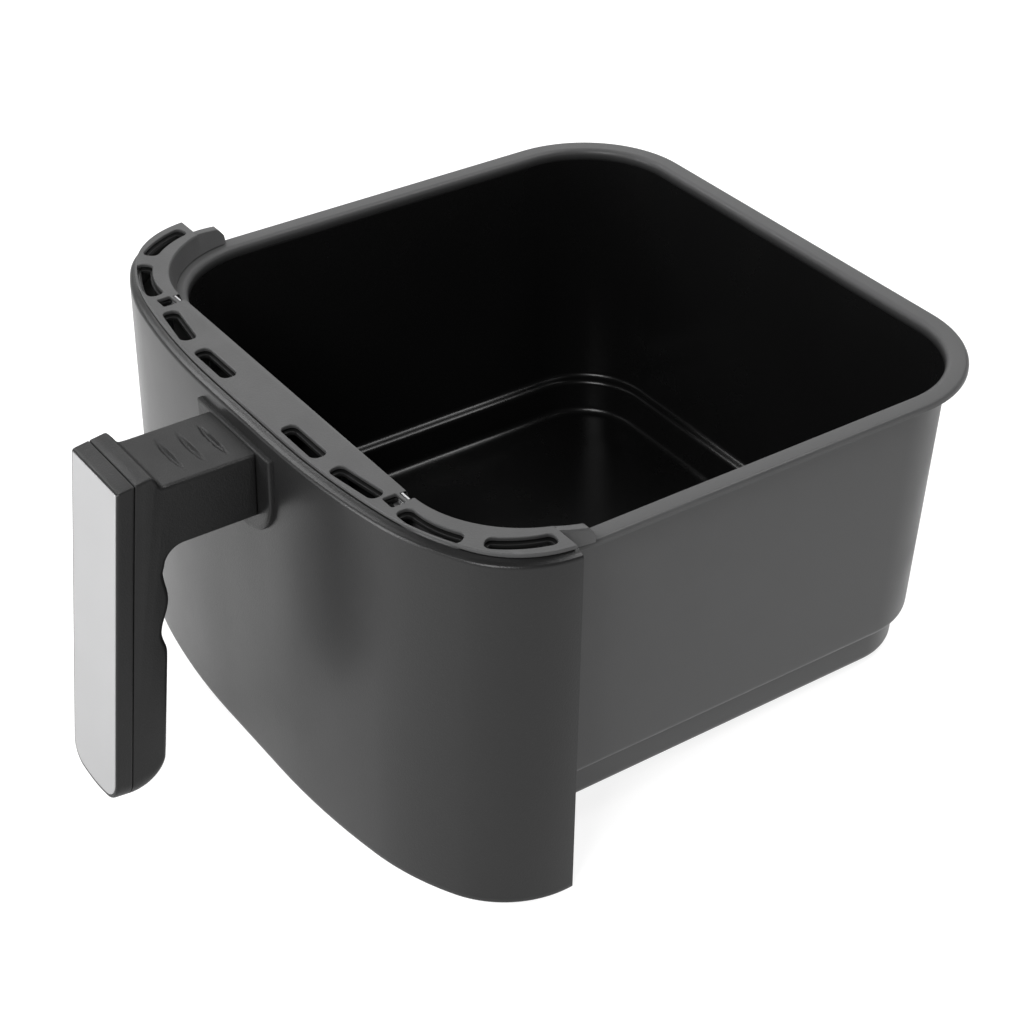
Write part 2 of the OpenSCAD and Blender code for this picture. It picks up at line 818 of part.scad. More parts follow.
// Arm and back half of the grip in one moulding, hollow and closed by the front cover
module handle_body() {
    color([0.11, 0.11, 0.11])
        difference() {
            intersection() {
                side_view(body_side(), grip_half);
                union() {
                    tongue_block(grip_half, grip_l, 9, 0, 40);
                    translate([-grip_half, -grip_front + 10, arm_under - 6]) cube([handle_w, 100, 60]);
                }
            }
            leaning()
                translate([-50, -panel_front - flange_t - 0.04, pan_h - 80]) cube([100, 40, 120]);
            handle_pocket();
            at_bolts() cylinder(r = threaded_r + 0.02, h = flange_t + threaded_l + 1, $fn = fine);
            thumb_grooves();
            for (x = [-1, 1])
                on_grip()
                    translate([x * cover_screw_x, 0, cover_screw_z]) {
                        rotate([-90, 0, 0]) cylinder(r = 1.5, h = 30, $fn = fine);
                        translate([0, cover_t + 12.1, 0])
                            rotate([-90, 0, 0])
                                cylinder(r = 3.2, h = 20, $fn = fine);
                    }
            core_screw_holes(1.3);
        }
}

// Hollow of the body: one pocket down the grip and one along the arm
module handle_pocket() {
    on_grip()
        translate([-grip_half + grip_shell, 0, -grip_l + 26])
            cube([handle_w - 2 * grip_shell, grip_depth - valley - grip_shell, grip_l - 33]);
    translate([-grip_half + arm_shell, 8 - grip_front, arm_under + arm_shell])
        cube([
            handle_w - 2 * arm_shell,
            arm_pocket_end + grip_front - 8,
            arm_top - arm_under - 2 * arm_shell
        ]);
}

// Three shallow grooves across the thumb rest
module thumb_grooves() {
    for (i = [0:2])
        translate([0, -rim_d / 2 - 28.2 - i * groove_pitch, arm_top + groove_r - groove_depth])
            rotate([90, 0, 0])
                translate([0, 0, -groove_w / 2])
                    cylinder(r = groove_r, h = groove_w, $fn = 180);
}

// L-shaped steel bar that stiffens the arm and the grip
module handle_core_bar() {
    front = core_back - core_t;
    color([0.65, 0.65, 0.67])
        difference() {
            side_view([
                grip_at(front, core_low),
                grip_at(front, grip_drop(front, core_arm_z + core_t)),
                [core_arm_end, core_arm_z + core_t],
                [core_arm_end, core_arm_z],
                grip_at(core_back, grip_drop(core_back, core_arm_z)),
                grip_at(core_back, core_low)
            ], core_w / 2);
            core_screw_holes(1.5);
        }
}

module core_screw_holes(radius) {
    on_grip()
        for (z = core_screw_z)
            translate([0, core_back - 6, z]) rotate([-90, 0, 0]) cylinder(r = radius, h = 8.2, $fn = fine);
}

module core_bar_screws() {
    color("silver")
        on_grip()
            for (z = core_screw_z)
                translate([0, core_back - core_t - 0.05, z]) rotate([-90, 0, 0]) pan_screw(3.4, 1.8, 1.25, 6);
}

module handle_front_cover() {
    color([0.12, 0.12, 0.12])
        difference() {
            intersection() {
                side_view([
                    grip_at(0, 0), grip_at(cover_t, top_slope * cover_t),
                    grip_at(cover_t, -grip_l - 1), grip_at(0, -grip_l - 1)
                ], grip_half);
                tongue_block(grip_half, grip_l, 9, -1, 40);
            }
            tongue_pocket(insert_half + 0.15, insert_t + adhesive_t - 0.2);
            on_grip()
                translate([-grip_half + grip_shell, cover_t - 2.6, -grip_l + 26])
                    cube([handle_w - 2 * grip_shell, 10, grip_l - 33]);
            for (x = [-1, 1])
                on_grip()
                    translate([x * cover_screw_x, insert_t + adhesive_t + 1, cover_screw_z])
                        rotate([-90, 0, 0])
                            cylinder(r = 1.2, h = 20, $fn = fine);
        }
}

// Recess in the cover's face that takes the adhesive and the insert plate
module tongue_pocket(half, depth) {
    difference() {
        tongue_block(half, grip_l - insert_foot + 0.15, 8.3, -5, depth);
        on_grip() translate([-50, -10, 0.15 - insert_head]) cube([100, 40, 40]);
    }
}

module insert_shape(half, front, thick) {
    difference() {
        tongue_block(half, grip_l - insert_foot, 8.1, front, front + thick);
        on_grip() translate([-50, -10, -insert_head]) cube([100, 40, 40]);
    }
}

module insert_adhesive() {
    color([0.85, 0.85, 0.8]) insert_shape(insert_half - 1.5, insert_t - 0.2, adhesive_t - 0.02);
}

module handle_insert_plate() {
    color([0.78, 0.78, 0.79]) insert_shape(insert_half, -0.2, insert_t - 0.02);
}

module cover_screws() {
    color("silver")
        for (x = [-1, 1])
            on_grip()
                translate([x * cover_screw_x, cover_t + 12.15, cover_screw_z])
                    rotate([90, 0, 0])
                        pan_screw(2.8, 1.6, 1.15, 14);
}

pan();
pan_studs();
front_bracket();
stud_nuts();
insulation_pad();
panel_liner();
liner_screws();
front_panel();
panel_screws();
top_trim();
trim_screws();
rim_clip_left();
rim_clip_right();
clip_screws();
handle_backing_plate();
handle_bolts();
bolt_washers();
threaded_inserts();
root_flange();
handle_body();
handle_core_bar();
core_bar_screws();
handle_front_cover();
cover_screws();
insert_adhesive();
handle_insert_plate();
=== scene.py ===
import bpy
import math
from mathutils import Matrix, Vector


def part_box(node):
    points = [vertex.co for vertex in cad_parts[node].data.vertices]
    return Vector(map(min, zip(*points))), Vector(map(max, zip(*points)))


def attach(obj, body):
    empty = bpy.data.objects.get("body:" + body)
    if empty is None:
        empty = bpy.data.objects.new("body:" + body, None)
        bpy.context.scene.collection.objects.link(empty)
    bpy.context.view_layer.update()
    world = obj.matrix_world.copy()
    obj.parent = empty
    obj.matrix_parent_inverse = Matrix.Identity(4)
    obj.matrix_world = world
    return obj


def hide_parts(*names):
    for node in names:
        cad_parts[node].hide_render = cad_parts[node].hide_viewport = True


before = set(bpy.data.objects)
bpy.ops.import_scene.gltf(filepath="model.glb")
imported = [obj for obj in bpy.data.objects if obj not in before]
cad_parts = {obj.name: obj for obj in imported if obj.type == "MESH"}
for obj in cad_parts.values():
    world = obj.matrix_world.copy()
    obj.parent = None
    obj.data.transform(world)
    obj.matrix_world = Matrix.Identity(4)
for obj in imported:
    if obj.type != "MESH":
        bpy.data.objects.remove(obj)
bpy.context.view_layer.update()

MM = 0.001                    # sizes are in millimetres, in the drawer's own frame, unless said otherwise
BODY = "root"


# ------------------------------------------------------------------ helpers
def arc(cx, cy, r, start, end, steps):
    """Points on an arc, angles in degrees, both ends included."""
    turn = [math.radians(start + (end - start) * i / steps) for i in range(steps + 1)]
    return [(cx + r * math.cos(t), cy + r * math.sin(t)) for t in turn]


def line(a, b, steps):
    """Points from a to b without b."""
    return [tuple(p + (q - p) * i / steps for p, q in zip(a, b)) for i in range(steps)]


def smooth(mesh, flat_angle):
    """Smooth shading, except across edges sharper than an angle in degrees."""
    mesh.polygons.foreach_set("use_smooth", [True] * len(mesh.polygons))
    mesh.set_sharp_from_angle(angle=math.radians(flat_angle))


def add_piece(name, mesh):
    """A visual piece that rides on the drawer's body."""
    obj = bpy.data.objects.new(name, mesh)
    bpy.context.scene.collection.objects.link(obj)
    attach(obj, BODY)
    return obj


def new_object(name, verts, faces, material, flat_angle):
    """A piece from points in millimetres."""
    mesh = bpy.data.meshes.new(name)
    mesh.from_pydata([tuple(c * MM for c in v) for v in verts], [], faces)
    mesh.validate()
    mesh.materials.append(material)
    smooth(mesh, flat_angle)
    mesh.update()
    return add_piece(name, mesh)


def grid_faces(rows, n, join_rows, join_ends):
    """Quads between rows of n points. The points of a row and the rows themselves can close up."""
    faces = []
    for r in range(rows if join_rows else rows - 1):
        r2 = (r + 1) % rows
        for i in range(n if join_ends else n - 1):
            j = (i + 1) % n
            faces.append((r * n + i, r * n + j, r2 * n + j, r2 * n + i))
    return faces


def loft(loops):
    """Vertices and faces of a solid through closed loops of equal length, with both ends capped."""
    n, rows = len(loops[0]), len(loops)
    faces = grid_faces(rows, n, join_rows=False, join_ends=True)
    faces.append(tuple(range(n - 1, -1, -1)))
    faces.append(tuple((rows - 1) * n + i for i in range(n)))
    return [p for loop in loops for p in loop], faces


def strip(paths):
    """Vertices and faces of a bar: one open path for each corner of its section, with both ends capped."""
    n, rows = len(paths[0]), len(paths)
    faces = grid_faces(rows, n, join_rows=True, join_ends=False)
    faces.append(tuple(r * n for r in range(rows)))
    faces.append(tuple(r * n + n - 1 for r in range(rows - 1, -1, -1)))
    return [p for path in paths for p in path], faces


def flipped(faces):
    """The same faces seen from the other side."""
    return [f[::-1] for f in faces]


def mirrored(points):
    """Plan points mirrored left to right, in the reverse order."""
    return [(-x, y) for x, y in reversed(points)]


def round_rect(cx, cy, half_x, half_y, corner, steps, side_steps=0):
    """Closed outline with round corners. side_steps divides the two sides that run along x."""
    out = []
    for sx, sy, turn in ((1, 1, 0), (-1, 1, 90), (-1, -1, 180), (1, -1, 270)):
        end_x = sx * (half_x - corner)
        out += arc(cx + end_x, cy + sy * (half_y - corner), corner, turn, turn + 90, steps)
        if sx == sy:
            side_y = cy + sy * half_y
            out += line((cx + end_x, side_y), (cx - end_x, side_y), side_steps)[1:]
    return out


# ------------------------------------------------------------------ materials
BLOT_SPAN = (0.3, 0.7)        # mottling noise that gives the lowest and highest colour and roughness
WORN_SPAN = (0.52, 0.62)      # pointiness at which an edge starts to look worn, and is fully worn
WORN_GAIN = 2.2               # a worn edge is this much lighter,
WORN_LIFT = 0.02              # plus this
DUST_SPAN = (0.66, 0.74)      # noise at which a speck starts and is full
DUST_SIZE = 2600.0
RELIEF = 0.0004               # height of the grain, in metres
INNER_ROUGHNESS = 0.6         # roughness inside the pan, as a share of that outside
BLACK = (0, 0, 0)


def node(tree, kind, **values):
    """A new shader node, with values for its inputs or its own settings."""
    n = tree.nodes.new(kind)
    for key, value in values.items():
        if key in n.inputs:
            n.inputs[key].default_value = value
        else:
            setattr(n, key, value)
    return n


def ramp(tree, span, first, last):
    """A colour ramp from one colour to another over a span of its factor."""
    n = node(tree, "ShaderNodeValToRGB")
    for stop, place, colour in zip(n.color_ramp.elements, span, (first, last)):
        stop.position = place
        stop.color = (*colour, 1)
    return n


def surface(name, colour, rough, metal=0.0, specular=0.5, mottle=0.15, mottle_size=60.0,
            grain=900.0, bump=0.02, wear=0.25, rough_spread=0.08, speck=0.0, inner=None):
    """A procedural finish: colour mottling, uneven roughness, fine grain and lighter worn edges.

    speck adds fine light dots. inner is the colour where the attribute "inside" is 1: a dark coat, made
    darker still as painted shade, and the finish is smoother there.
    """
    mat = bpy.data.materials.new(name)
    mat.use_nodes = True
    tree = mat.node_tree
    tree.nodes.clear()
    out = node(tree, "ShaderNodeOutputMaterial")
    bsdf = node(tree, "ShaderNodeBsdfPrincipled")
    bsdf.inputs["Metallic"].default_value = metal
    bsdf.inputs["Specular IOR Level"].default_value = specular
    link = tree.links.new
    link(bsdf.outputs["BSDF"], out.inputs["Surface"])

    coords = node(tree, "ShaderNodeTexCoord")

    blot = node(tree, "ShaderNodeTexNoise", Scale=mottle_size, Detail=5.0, Roughness=0.6)
    link(coords.outputs["Object"], blot.inputs["Vector"])
    fine = node(tree, "ShaderNodeTexNoise", Scale=grain, Detail=3.0, Roughness=0.55)
    link(coords.outputs["Object"], fine.inputs["Vector"])

    dark = [c * (1 - mottle) for c in colour]
    light = [min(c * (1 + mottle), 1.0) for c in colour]
    base = ramp(tree, BLOT_SPAN, dark, light)
    link(blot.outputs["Fac"], base.inputs["Fac"])

    geometry = node(tree, "ShaderNodeNewGeometry")
    edge = ramp(tree, WORN_SPAN, BLACK, (wear, wear, wear))
    link(geometry.outputs["Pointiness"], edge.inputs["Fac"])
    worn = node(tree, "ShaderNodeMixRGB", blend_type="MIX")
    worn.inputs["Color2"].default_value = (*[min(c * WORN_GAIN + WORN_LIFT, 1.0) for c in colour], 1)
    link(edge.outputs["Color"], worn.inputs["Fac"])
    link(base.outputs["Color"], worn.inputs["Color1"])
    last = worn
    if speck:
        dust = node(tree, "ShaderNodeTexNoise", Scale=DUST_SIZE, Detail=1.0, Roughness=0.4)
        link(coords.outputs["Object"], dust.inputs["Vector"])
        dots = ramp(tree, DUST_SPAN, BLACK, (speck, speck, speck))
        link(dust.outputs["Fac"], dots.inputs["Fac"])
        dusty = node(tree, "ShaderNodeMixRGB", blend_type="ADD")
        dusty.inputs["Fac"].default_value = 1.0
        link(worn.outputs["Color"], dusty.inputs["Color1"])
        link(dots.outputs["Color"], dusty.inputs["Color2"])
        last = dusty
    # where "inside" is 1 the colour turns to inner: the dark coat plus painted shade
    if inner:
        share = node(tree, "ShaderNodeAttribute")
        share.attribute_name = "inside"
        coated = node(tree, "ShaderNodeMixRGB", blend_type="MIX")
        coated.inputs["Color2"].default_value = (*inner, 1)
        link(share.outputs["Fac"], coated.inputs["Fac"])
        link(last.outputs["Color"], coated.inputs["Color1"])
        last = coated
    link(last.outputs["Color"], bsdf.inputs["Base Color"])

    spread = node(tree, "ShaderNodeMapRange")
    spread.inputs["From Min"].default_value = BLOT_SPAN[0]
    spread.inputs["From Max"].default_value = BLOT_SPAN[1]
    spread.inputs["To Min"].default_value = max(rough - rough_spread, 0.02)
    spread.inputs["To Max"].default_value = min(rough + rough_spread, 1.0)
    link(blot.outputs["Fac"], spread.inputs["Value"])
    if inner:
        smoother = node(tree, "ShaderNodeMapRange")
        smoother.inputs["To Min"].default_value = 1.0
        smoother.inputs["To Max"].default_value = INNER_ROUGHNESS
        link(share.outputs["Fac"], smoother.inputs["Value"])
        product = node(tree, "ShaderNodeMath", operation="MULTIPLY")
        link(spread.outputs["Result"], product.inputs[0])
        link(smoother.outputs["Result"], product.inputs[1])
        link(product.outputs["Value"], bsdf.inputs["Roughness"])
    else:
        link(spread.outputs["Result"], bsdf.inputs["Roughness"])

    relief = node(tree, "ShaderNodeBump")
    relief.inputs["Strength"].default_value = bump
    relief.inputs["Distance"].default_value = RELIEF
    link(fine.outputs["Fac"], relief.inputs["Height"])
    link(relief.outputs["Normal"], bsdf.inputs["Normal"])
    return mat


def grey(value):
    """A grey with a trace of blue."""
    return (value, value, value * 1.01)


# inner grey(0.004) is the pan's black coat made darker still, as painted shade for its deep inside
PAN = surface("coated steel", grey(0.054), 0.42, specular=0.22, mottle=0.10,
              mottle_size=26.0, bump=0.10, grain=1600.0, wear=0.1, inner=grey(0.004))
PANEL = surface("panel moulding", grey(0.011), 0.32, specular=0.27, mottle=0.06,
                mottle_size=20.0, bump=0.16, grain=1500.0, wear=0.1, speck=0.006, rough_spread=0.03)
TRIM = surface("trim moulding", grey(0.044), 0.48, specular=0.36, mottle=0.08,
               mottle_size=60.0, bump=0.22, grain=1500.0, wear=0.15)
LINER = surface("liner moulding", grey(0.007), 0.55, specular=0.25, mottle=0.1, bump=0.2)
HANDLE = surface("handle moulding", grey(0.010), 0.42, specular=0.22, mottle=0.06,
                 mottle_size=40.0, bump=0.30, grain=1500.0, wear=0.12)
SILVER = surface("silver insert", grey(0.36), 0.38, metal=0.85, specular=0.5, mottle=0.03,
                 mottle_size=30.0, bump=0.05, grain=2200.0, wear=0.1, rough_spread=0.05)
ZINC = surface("zinc-plated steel", grey(0.55), 0.32, metal=1.0, mottle=0.12, bump=0.15, wear=0.3)
SPRING = surface("spring steel", grey(0.32), 0.4, metal=1.0, mottle=0.06, bump=0.05, wear=0.2)
BRASS = surface("brass", (0.72, 0.50, 0.20), 0.3, metal=1.0, mottle=0.1, bump=0.1, wear=0.2)
FIBRE = surface("fibre pad", (0.70, 0.67, 0.60), 0.9, mottle=0.12, bump=0.8, grain=700.0)
GLUE = surface("adhesive", (0.7, 0.7, 0.66), 0.35, mottle=0.1, bump=0.2)

CAD_FINISH = {
    "panel_liner": LINER, "insulation_pad": FIBRE, "insert_adhesive": GLUE,
    "threaded_inserts": BRASS, "rim_clip_left": SPRING, "rim_clip_right": SPRING,
}

# ------------------------------------------------------------------ pan
pan_low, pan_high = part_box("pan")
RIM_W = (pan_high[0] - pan_low[0]) / MM
RIM_D = (pan_high[1] - pan_low[1]) / MM
PAN_H = pan_high[2] / MM
RIM_R = 47.0                  # corner of the rim's plan
LIP_W = 6.0                   # flat of the rim
SHEET = 1.2
DRAFT = math.tan(math.radians(2.8))
LEDGE_Z = 17.0                # inner ledge above the base's underside
LEDGE_W = 4.4
LIP_EDGE_R = 1.5
LIP_DROP = 2.6                # the rim's edge turns down this far
BEND_R = 2.4
FOOT_R = 3.2                  # bend between the foot's wall and the floor
FOOT_DRAFT = 0.4
WALL_IN = LIP_W + BEND_R
WALL_FOOT = WALL_IN + DRAFT * (PAN_H - BEND_R - LEDGE_Z - BEND_R)
LEDGE_IN = WALL_FOOT + LEDGE_W
FLOOR_IN = LEDGE_IN + FOOT_DRAFT + FOOT_R
CORNER_X = RIM_W / 2 - RIM_R
CORNER_Y = RIM_D / 2 - RIM_R
BEND_STEPS = 8
WALL_STEPS = 16
CORNER_STEPS = 24
SIDE_STEPS = 12
COAT_AND_SHADE_BELOW = 2.4              # the black coat with its painted shade is full this far below the lip's inner bend
COAT_AND_SHADE_STARTS = 0.12            # share of the way down to there at which it starts to show
FLOOR_EDGE = 1.5              # the floor's flat middle starts this far inside its bend
HEM_BEVEL = 0.3


def pan_section():
    """Inner and outer halves of the section, as (distance in from the rim's edge, height)."""
    s = BEND_STEPS
    inner = (
        [(FLOOR_IN + FLOOR_EDGE, SHEET)]
        + arc(FLOOR_IN, SHEET + FOOT_R, FOOT_R, 270, 180, s)
        + arc(LEDGE_IN - BEND_R, LEDGE_Z - BEND_R, BEND_R, 0, 90, s)
        + arc(WALL_FOOT + BEND_R, LEDGE_Z + BEND_R, BEND_R, 270, 180, s)
    )
    low = inner[-1]
    coat_and_shade_top = (WALL_IN + DRAFT * COAT_AND_SHADE_BELOW, PAN_H - BEND_R - COAT_AND_SHADE_BELOW)
    inner += line(low, coat_and_shade_top, WALL_STEPS)[1:] + line(coat_and_shade_top, (WALL_IN, PAN_H - BEND_R), 3)
    inner += arc(LIP_W, PAN_H - BEND_R, BEND_R, 0, 90, s)
    inner += arc(LIP_EDGE_R, PAN_H - LIP_EDGE_R, LIP_EDGE_R, 90, 180, s)
    hem = PAN_H - LIP_DROP
    outer = [(0.0, hem + HEM_BEVEL), (HEM_BEVEL, hem), (SHEET - HEM_BEVEL, hem), (SHEET, hem + HEM_BEVEL)]
    outer += arc(LIP_EDGE_R, PAN_H - LIP_EDGE_R, LIP_EDGE_R - SHEET, 180, 90, 3)
    outer += arc(LIP_W, PAN_H - BEND_R, BEND_R - SHEET, 90, 0, s)
    outer += line((WALL_IN - SHEET, PAN_H - BEND_R), (WALL_FOOT - SHEET, LEDGE_Z + BEND_R), WALL_STEPS)[1:]
    outer += arc(WALL_FOOT + BEND_R, LEDGE_Z + BEND_R, BEND_R + SHEET, 180, 270, s)
    outer += arc(LEDGE_IN - BEND_R, LEDGE_Z - BEND_R, BEND_R - SHEET, 90, 0, s)
    outer += arc(FLOOR_IN, SHEET + FOOT_R, FOOT_R + SHEET, 180, 270, s)
    outer += [(FLOOR_IN + FLOOR_EDGE, 0.0)]
    return inner, outer


def ring_stations():
    """(x, y, outward x, outward y) round the line of the rim's corner centres, anticlockwise."""
    out = []
    corners = [(1, 1), (-1, 1), (-1, -1), (1, -1)]
    for k, (sx, sy) in enumerate(corners):
        cx, cy = sx * CORNER_X, sy * CORNER_Y
        for i in range(CORNER_STEPS + 1):
            a = math.radians(90 * k + 90 * i / CORNER_STEPS)
            out.append((cx, cy, math.cos(a), math.sin(a)))
        nx, ny = corners[(k + 1) % 4]
        ex, ey = nx * CORNER_X, ny * CORNER_Y
        a = math.radians(90 * (k + 1))
        for i in range(1, SIDE_STEPS):
            t = i / SIDE_STEPS
            out.append((cx + (ex - cx) * t, cy + (ey - cy) * t, math.cos(a), math.sin(a)))
    return out


def build_pan():
    """The drawn pan, with the attribute "inside" at 1 where the black coat with its painted shade is full.
    """
    inner, outer = pan_section()
    section = inner + outer
    stations = ring_stations()
    loops = [[(bx + (RIM_R - p) * dx, by + (RIM_R - p) * dy, z) for bx, by, dx, dy in stations]
             for p, z in section]
    verts, faces = loft(loops)
    n = len(stations)
    pan = new_object("drawn_pan", verts, faces, PAN, 32)
    inside = pan.data.attributes.new("inside", "FLOAT", "POINT")
    lip_edge_row = len(inner) - (BEND_STEPS + 1)
    values = []
    for row, (_, z) in enumerate(section):
        depth = (PAN_H - z) / (BEND_R + COAT_AND_SHADE_BELOW)
        share = min(max((depth - COAT_AND_SHADE_STARTS) / (1 - COAT_AND_SHADE_STARTS), 0.0), 1.0)
        values += [share if row < lip_edge_row else 0.0] * n
    inside.data.foreach_set("value", values)
    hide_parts("pan")


build_pan()

# ------------------------------------------------------------------ front panel
PANEL_FRONT = RIM_D / 2 + 18.6          # the face's top is this far in front of the middle
PANEL_END = 86.0                        # the panel's two ends, in front of the middle
PANEL_T = 2.4
LEAN = math.tan(math.radians(1.4))      # the face leans out towards its lower edge
END_LEAN = math.tan(math.radians(1.0))  # and narrows towards it
FLAT_HALF = 22.8              # half of the straight stretch in the middle of the plan
FLAT_STEPS = 6
ARCS = ((340.0, 0.0, 10.0), (105.0, 10.0, 29.5), (39.2, 29.5, 90.0))    # (radius, first and last degree)
ARC_STEPS = (8, 12, 28)
TRIM_TOP = PAN_H + 8.2
TRIM_T = 1.5
TRIM_UNDER = TRIM_TOP - TRIM_T
PANEL_TOP = TRIM_UNDER - 0.5
PANEL_BOTTOM = -13.3
SHOULDER = PANEL_TOP - 1.5
SHOULDER_R = 1.5
SHOULDER_LIFT = 0.4           # the round at the shoulder is moved up by this
LOW_EDGE = 0.5                # rounding of the lower edge outside
LOW_EDGE_IN = 0.3             # and inside
LAND_IN = 3.9                 # the flat top reaches this far in from the face
LAND_T = 1.2


def half_plan(inset, shift, sideways, end_y):
    """Right half of the panel's plan outline from the middle to its end at end_y."""
    flat = FLAT_HALF + sideways
    pts = [(flat * i / FLAT_STEPS, -PANEL_FRONT + inset - shift) for i in range(FLAT_STEPS)]
    cx, cy = flat, -PANEL_FRONT - shift
    previous = 0.0
    last = len(ARCS) - 1
    for k, (radius, start, stop) in enumerate(ARCS):
        a = math.radians(start)
        if k == 0:
            cy += radius
        else:
            cx += (previous - radius) * math.sin(a)
            cy -= (previous - radius) * math.cos(a)
        r = radius - inset
        if k == last:
            stop = math.degrees(math.acos((cy - end_y) / r))
        steps = ARC_STEPS[k]
        for i in range(steps + (k == last)):
            t = math.radians(start + (stop - start) * i / steps)
            pts.append((cx + r * math.sin(t), cy - r * math.cos(t)))
        previous = radius
    return pts


def full_plan(inset, shift, sideways, end_y):
    """The whole outline from left to right: inset from the face, moved forward and widened."""
    right = half_plan(inset, shift, sideways, end_y)
    return mirrored(right[1:]) + right


def panel_section():
    """The wall's section, as (distance in from the face, height), up the outside and down the inside."""
    nick = LOW_EDGE * 0.3
    round_z = SHOULDER - SHOULDER_R + SHOULDER_LIFT
    outside = [(LOW_EDGE, PANEL_BOTTOM), (nick, PANEL_BOTTOM + nick), (0.0, PANEL_BOTTOM + LOW_EDGE)]
    outside += line((0.0, PANEL_BOTTOM + 2), (0.0, round_z), 10)
    outside += arc(SHOULDER_R, round_z, SHOULDER_R, 180, 105, 7)
    outside += [(2.0, SHOULDER + 0.75), (2.7, PANEL_TOP - 0.1), (2.95, PANEL_TOP)]
    inside = [(LAND_IN, PANEL_TOP), (LAND_IN, PANEL_TOP - LAND_T), (PANEL_T, PANEL_TOP - LAND_T),
              (PANEL_T, PANEL_BOTTOM + LOW_EDGE_IN), (PANEL_T - LOW_EDGE_IN, PANEL_BOTTOM)]
    return outside + inside


def build_panel():
    """The front panel: one section carried round its plan."""
    loops = []
    for q, z in panel_section():
        below = PANEL_TOP - z
        loops.append([(x, y, z) for x, y in full_plan(q, LEAN * below, -END_LEAN * below, -PANEL_END)])
    verts, faces = strip(loops)
    panel = new_object("front_panel_moulding", verts, faces, PANEL, 40)
    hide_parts("front_panel")


build_panel()


# ------------------------------------------------------------------ top trim
PLATE_IN = 3.1                # the plate's edge is this far in from the panel's face
TRIM_END = 87.0
TRIM_WIDEN = 0.9
PLATE_ROUND = 0.35
SKIRT_X = 79.5
SKIRT_Y = -71.65
SKIRT_TOP_R = 43.2
SKIRT_LOW_R = 41.0
SKIRT_T = 1.5
SKIRT_LOW = PAN_H + 0.5
SKIRT_HIGH = TRIM_TOP - 0.03
SKIRT_ROUND = ((-0.25, 1.0), (-0.1, 0.5), (0.15, 0.17), (0.6, 0.03))    # (out from the top, down)
TONGUE_R = 46.8
TONGUE_TIP = -77.2
TONGUE_FALL = 1.6
TONGUE_NOSE = ((0.5, 0.45), (1.4, 1.5), (2.4, 2.9))    # (beyond the tip, down)
TONGUE_ROUND = ((0.0, 0.6), (0.25, 0.15), (0.7, 0.0))  # (out from the inner side, down)
TONGUE_BEVEL = 0.6
SLOT_W = 6.2
SLOT_L = 23.0
SLOT_CORNER = 2.5
SLOT_NEAR = (31.0, -127.6, 0.0)     # straight slots: centre and turn in degrees
SLOT_FAR = (62.0, -125.7, 8.5)
SLOT_SHIFT = 1.2              # the straight slots sit this far to the right of the middle
SLOT_ARC_X = 86.8
SLOT_ARC_Y = -82.0
SLOT_ARC_R = 40.0
SLOT_ARCS = ((2.3, 30.5), (49.5, 74.0))
WINDOW_X = 79.2
WINDOW_Y = -RIM_D / 2 - 3.9
WINDOW_HALF = (3.1, 2.7)
WINDOW_CORNER = 0.7
NOTCH_HALF = 2.5
NOTCH_Y = -RIM_D / 2 - 0.1
LAYER_IN = 1.6                # the second layer under the plate is smaller all round
LAYER_DOWN = (2.2, 0.7)       # its lower and upper side, below the plate's underside
LAYER_ROUND = 0.2
LAYER_SLOT = -0.9
LAYER_WINDOW = 0.3


def corner_path(r, steps=28):
    """Right corner of the skirt at a radius, from the plate's end round to the notch's right side."""
    first = math.acos(min((SKIRT_Y + TRIM_END) / r, 1.0))
    last = math.asin((WINDOW_X + NOTCH_HALF - SKIRT_X) / r)
    turns = [first + (last - first) * i / steps for i in range(steps + 1)]
    return [(SKIRT_X + r * math.sin(a), SKIRT_Y - r * math.cos(a)) for a in turns]


def front_path(r, steps=20):
    """The skirt's straight front at a radius, between the two notches."""
    x = WINDOW_X - NOTCH_HALF
    return [(x - 2 * x * i / steps, SKIRT_Y - r) for i in range(steps + 1)]


def inner_path(r):
    """The plate's whole inner edge from right to left, with a notch at each clip."""
    right = corner_path(r) + [(WINDOW_X + NOTCH_HALF, NOTCH_Y), (WINDOW_X - NOTCH_HALF, NOTCH_Y)]
    return right + front_path(r) + mirrored(right)


def slot_outline(side, kind, grow=0.0):
    """One slot's closed outline. kind 0 and 1 are straight, 2 and 3 follow the corner."""
    half_w = SLOT_W / 2 + grow
    corner = SLOT_CORNER + grow
    out = []
    if kind < 2:
        cx, cy, turn = (SLOT_NEAR, SLOT_FAR)[kind]
        c, s = math.cos(math.radians(turn)), math.sin(math.radians(turn))
        for x, y in round_rect(0, 0, SLOT_L / 2 + grow, half_w, corner, 6):
            out.append(((cx + x * c - y * s) * side + SLOT_SHIFT, cy + x * s + y * c))
    else:
        start, stop = SLOT_ARCS[kind - 2]
        mid = math.radians((start + stop) / 2)
        half_l = math.radians(stop - start) / 2 * SLOT_ARC_R + SLOT_W / 2 + grow
        for x, y in round_rect(0, 0, half_l, half_w, corner, 6, side_steps=10):
            a = mid + x / SLOT_ARC_R
            r = SLOT_ARC_R - y
            out.append(((SLOT_ARC_X + r * math.sin(a)) * side, SLOT_ARC_Y - r * math.cos(a)))
    return out if side > 0 else out[::-1]


def all_slots(grow=0.0):
    """The eight slots' outlines, each side grown by an amount."""
    return [slot_outline(side, kind, grow) for side in (-1, 1) for kind in range(4)]


def windows(grow=0.0):
    """The two clip windows' outlines."""
    half_x, half_y = WINDOW_HALF[0] + grow, WINDOW_HALF[1] + grow
    return [round_rect(WINDOW_X * side, WINDOW_Y, half_x, half_y, WINDOW_CORNER + grow, 4)
            for side in (-1, 1)]


def plate_outline(inset):
    """The trim plate's outside, round the front and back along the skirt."""
    outer = full_plan(PLATE_IN + inset, 0, TRIM_WIDEN, -TRIM_END)
    return outer + inner_path(SKIRT_TOP_R + 0.05 + inset * 0.5)


